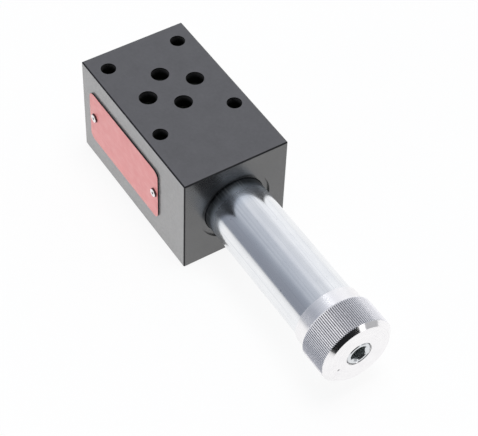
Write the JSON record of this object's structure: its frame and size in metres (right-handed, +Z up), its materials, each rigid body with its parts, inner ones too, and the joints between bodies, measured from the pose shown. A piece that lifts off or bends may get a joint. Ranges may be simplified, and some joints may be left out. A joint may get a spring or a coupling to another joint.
{
  "type": "hydraulic sandwich valve",
  "caption": "Sandwich-plate hydraulic pressure valve: dark block with a standard port and bolt pattern, red nameplate, and a bright spring tube with a knurled knob that sets the pressure.",
  "frame": {"origin": "middle of the port pattern on the bottom face, straight below the valve axis", "axes": "+X along the valve axis from the block to the knob, +Y towards port P, away from the nameplate, +Z up out of the top face"},
  "size_m": [0.1577, 0.0464, 0.045],
  "materials": {
    "block": "phosphated, ground faces",
    "hard_steel": "ground",
    "jet": "turned",
    "plug": "blackened",
    "seal": "matte",
    "tube": "bright zinc plated, turned",
    "spring": "drawn",
    "spindle": "turned",
    "knob": "turned and knurled",
    "nameplate": "satin red",
    "rivet": "pressed"
  },
  "bodies": {
    "body": {"valve_body": "block", "end_plug": "plug", "end_plug_seal": "seal", "adjuster_tube": "tube", "tube_seal": "seal", "knob_seal": "seal", "main_spring": "spring", "nameplate": "nameplate", "rivet_rear": "rivet", "rivet_front": "rivet", "port_seal_p": "seal", "port_seal_t": "seal", "port_seal_a": "seal", "port_seal_b": "seal"},
    "spool": {"spool": "hard_steel", "spool_jet": "jet", "spring_guide": "hard_steel"},
    "adjuster": {"spring_plate": "hard_steel", "spring_plate_seal": "seal", "thrust_ball": "hard_steel"},
    "knob": {"knob": "knob", "spindle": "spindle", "spindle_stop_ring": "spring"}
  },
  "joints": [
    {"name": "spool_slide", "type": "slide", "parent": "body", "child": "spool", "axis": [1, 0, 0], "range_m": [0, 0.0025], "stiffness_N_per_m": 5000, "deforming": ["main_spring"]},
    {"name": "adjuster_advance", "type": "slide", "parent": "body", "child": "adjuster", "axis": [-1, 0, 0], "range_m": [-0.0015, 0.0045], "deforming": ["main_spring"]},
    {"name": "knob_turn", "type": "hinge", "parent": "adjuster", "child": "knob", "pos_m": [0.1, 0, 0.0225], "axis": [-1, 0, 0], "range_deg": [-360.5, 1080.5]}
  ],
  "couplings": [
    {"joint": "knob_turn", "follows": "adjuster_advance", "rad_per_m": 4188.8}
  ]
}
